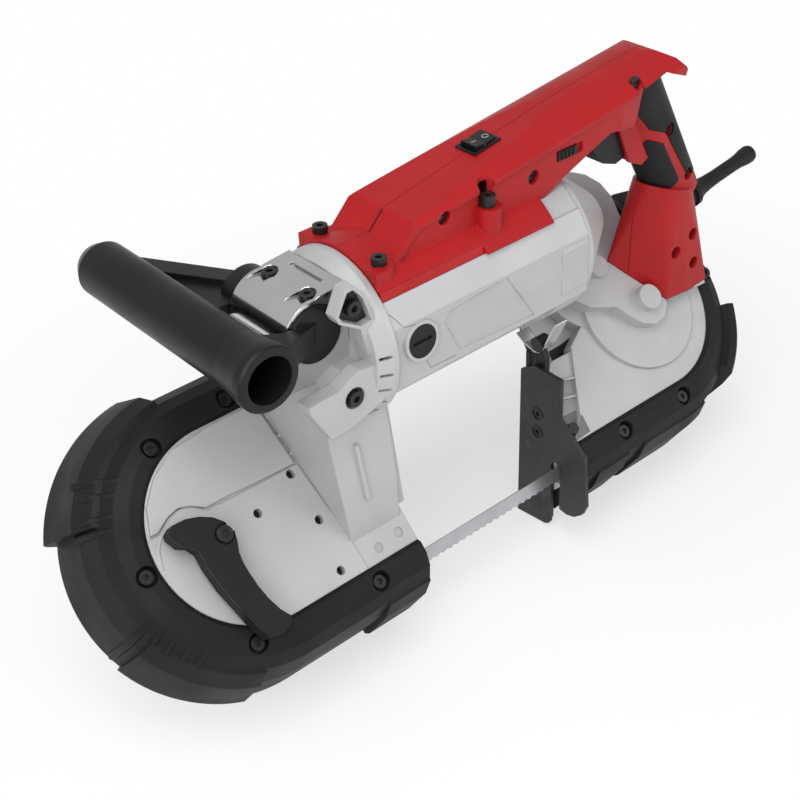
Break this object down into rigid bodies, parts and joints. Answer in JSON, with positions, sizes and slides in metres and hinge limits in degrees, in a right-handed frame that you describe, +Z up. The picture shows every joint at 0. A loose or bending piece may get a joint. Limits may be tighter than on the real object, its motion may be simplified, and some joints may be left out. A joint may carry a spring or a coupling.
{
  "type": "portable band saw",
  "caption": "Hand held deep cut band saw: tilted wheels in rubber-edged covers, exposed blade across an open throat, barrel motor, red trigger handle and turning front grip.",
  "frame": {"origin": "where the middle of the cutting blade passes the flat face of the work stop", "axes": "+X along the blade towards the drive wheel and the trigger handle, +Y away from the motor side, +Z up, away from the teeth"},
  "size_m": [0.5577, 0.1834, 0.316],
  "materials": {
    "cast": "satin",
    "motor_cast": "satin",
    "red_plastic": "satin",
    "black_rubber": "matte",
    "black_plastic": "matte",
    "tyre_rubber": "matte",
    "blade_steel": "satin",
    "steel": "satin",
    "black_steel": "satin",
    "chrome": "polished",
    "copper_core": "satin"
  },
  "bodies": {
    "frame": {"front_frame": "cast", "rear_frame": "cast", "gear_case": "cast", "gear_cover": "cast", "motor_housing": "motor_cast", "blade_guard": "black_plastic", "front_bumper": "black_rubber", "rear_bumper": "black_rubber", "front_bumper_screws": "black_steel", "rear_bumper_screws": "black_steel", "tension_spring": "steel", "drive_bearings": "steel", "motor_stator": "copper_core", "motor_bearings": "steel", "brushes": "black_plastic", "brush_caps": "black_plastic", "saw_blade": "blade_steel", "cover_dowels": "steel", "front_guide": "black_steel", "rear_guide": "black_steel", "work_stop": "black_steel", "stop_screws": "black_steel", "handle_clamp": "chrome", "clamp_screws": "black_steel", "frame_bolts": "black_steel", "handle_shell_left": "red_plastic", "handle_shell_right": "red_plastic", "grip_pads": "black_rubber", "trigger_switch": "black_plastic", "rocker_bezel": "black_plastic", "flange_screws": "black_steel", "shell_screws": "black_steel", "cord_guard": "black_rubber"},
    "drive": {"drive_wheel": "cast", "drive_tyre": "tyre_rubber", "drive_shaft": "steel", "output_gear": "steel"},
    "slide": {"tension_slide": "steel", "idler_axle": "steel"},
    "idler": {"idler_wheel": "cast", "idler_tyre": "tyre_rubber", "idler_bearings": "steel"},
    "lever": {"tension_lever": "black_plastic", "lever_screw": "steel"},
    "intermediate": {"intermediate_gear": "steel"},
    "bevel": {"bevel_gear": "steel"},
    "armature": {"armature": "copper_core", "motor_fan": "black_plastic"},
    "roller_1": {"roller_1": "steel"},
    "roller_2": {"roller_2": "steel"},
    "roller_3": {"roller_3": "steel"},
    "roller_4": {"roller_4": "steel"},
    "back_roller_1": {"back_roller_1": "steel"},
    "back_roller_2": {"back_roller_2": "steel"},
    "front_handle": {"front_handle": "black_rubber"},
    "trigger": {"trigger": "black_plastic"},
    "rocker": {"power_rocker": "black_plastic"},
    "side_lock": {"side_lock": "black_plastic"}
  },
  "joints": [
    {"name": "drive_spin", "type": "hinge", "parent": "frame", "child": "drive", "pos_m": [0.108, 0.02909, 0.07576], "axis": [0, -0.7071, 0.7071], "continuous": true},
    {"name": "intermediate_spin", "type": "hinge", "parent": "frame", "child": "intermediate", "pos_m": [0.08305, 0.05428, 0.10095], "axis": [0, -0.7071, 0.7071], "continuous": true},
    {"name": "bevel_spin", "type": "hinge", "parent": "frame", "child": "bevel", "pos_m": [0.05319, 0.07809, 0.12476], "axis": [0, -0.7071, 0.7071], "continuous": true},
    {"name": "armature_spin", "type": "hinge", "parent": "frame", "child": "armature", "pos_m": [-0.229, 0.03509, 0.16775], "axis": [1, 0, 0], "continuous": true},
    {"name": "idler_spin", "type": "hinge", "parent": "slide", "child": "idler", "pos_m": [-0.229, 0.02909, 0.07576], "axis": [0, -0.7071, 0.7071], "continuous": true},
    {"name": "tension_lever_turn", "type": "hinge", "parent": "frame", "child": "lever", "pos_m": [-0.2506, 0.02845, 0.07512], "axis": [0, 0.7071, -0.7071], "range_deg": [0, 170]},
    {"name": "tension_slide_move", "type": "slide", "parent": "frame", "child": "slide", "axis": [1, 0, 0], "range_m": [0, 0.0089], "deforming": ["tension_spring"]},
    {"name": "front_handle_turn", "type": "hinge", "parent": "frame", "child": "front_handle", "pos_m": [-0.182, 0.03509, 0.19176], "axis": [0, 1, 0], "range_deg": [-10, 15]},
    {"name": "trigger_pull", "type": "slide", "parent": "frame", "child": "trigger", "axis": [1, 0, 0], "range_m": [0, 0.006], "stiffness_N_per_m": 400},
    {"name": "power_rocker_tilt", "type": "hinge", "parent": "frame", "child": "rocker", "pos_m": [-0.035, 0.03509, 0.24616], "axis": [0, 1, 0], "range_deg": [-14, 0]},
    {"name": "side_lock_slide", "type": "slide", "parent": "frame", "child": "side_lock", "axis": [1, 0, 0], "range_m": [0, 0.005]},
    {"name": "roller_1_spin", "type": "hinge", "parent": "frame", "child": "roller_1", "pos_m": [-0.1575, -0.0049, 0], "axis": [0, 0, 1], "continuous": true},
    {"name": "roller_2_spin", "type": "hinge", "parent": "frame", "child": "roller_2", "pos_m": [-0.1575, 0.0049, 0], "axis": [0, 0, 1], "continuous": true},
    {"name": "roller_3_spin", "type": "hinge", "parent": "frame", "child": "roller_3", "pos_m": [0.0385, -0.0049, 0], "axis": [0, 0, 1], "continuous": true},
    {"name": "roller_4_spin", "type": "hinge", "parent": "frame", "child": "roller_4", "pos_m": [0.0385, 0.0049, 0], "axis": [0, 0, 1], "continuous": true},
    {"name": "back_roller_1_spin", "type": "hinge", "parent": "frame", "child": "back_roller_1", "pos_m": [-0.1475, 0, 0.01345], "axis": [0, 1, 0], "continuous": true},
    {"name": "back_roller_2_spin", "type": "hinge", "parent": "frame", "child": "back_roller_2", "pos_m": [0.0285, 0, 0.01345], "axis": [0, 1, 0], "continuous": true}
  ],
  "couplings": [
    {"joint": "intermediate_spin", "follows": "drive_spin", "ratio": -4.8},
    {"joint": "bevel_spin", "follows": "drive_spin", "ratio": 15.771},
    {"joint": "armature_spin", "follows": "drive_spin", "ratio": 53.623},
    {"joint": "idler_spin", "follows": "drive_spin", "ratio": 1},
    {"joint": "roller_1_spin", "follows": "drive_spin", "ratio": 16.474},
    {"joint": "roller_2_spin", "follows": "drive_spin", "ratio": -16.474},
    {"joint": "roller_3_spin", "follows": "drive_spin", "ratio": 16.474},
    {"joint": "roller_4_spin", "follows": "drive_spin", "ratio": -16.474},
    {"joint": "back_roller_1_spin", "follows": "drive_spin", "ratio": -10.591},
    {"joint": "back_roller_2_spin", "follows": "drive_spin", "ratio": -10.591},
    {"joint": "tension_slide_move", "follows": "tension_lever_turn", "m_per_rad": 0.0029996}
  ]
}
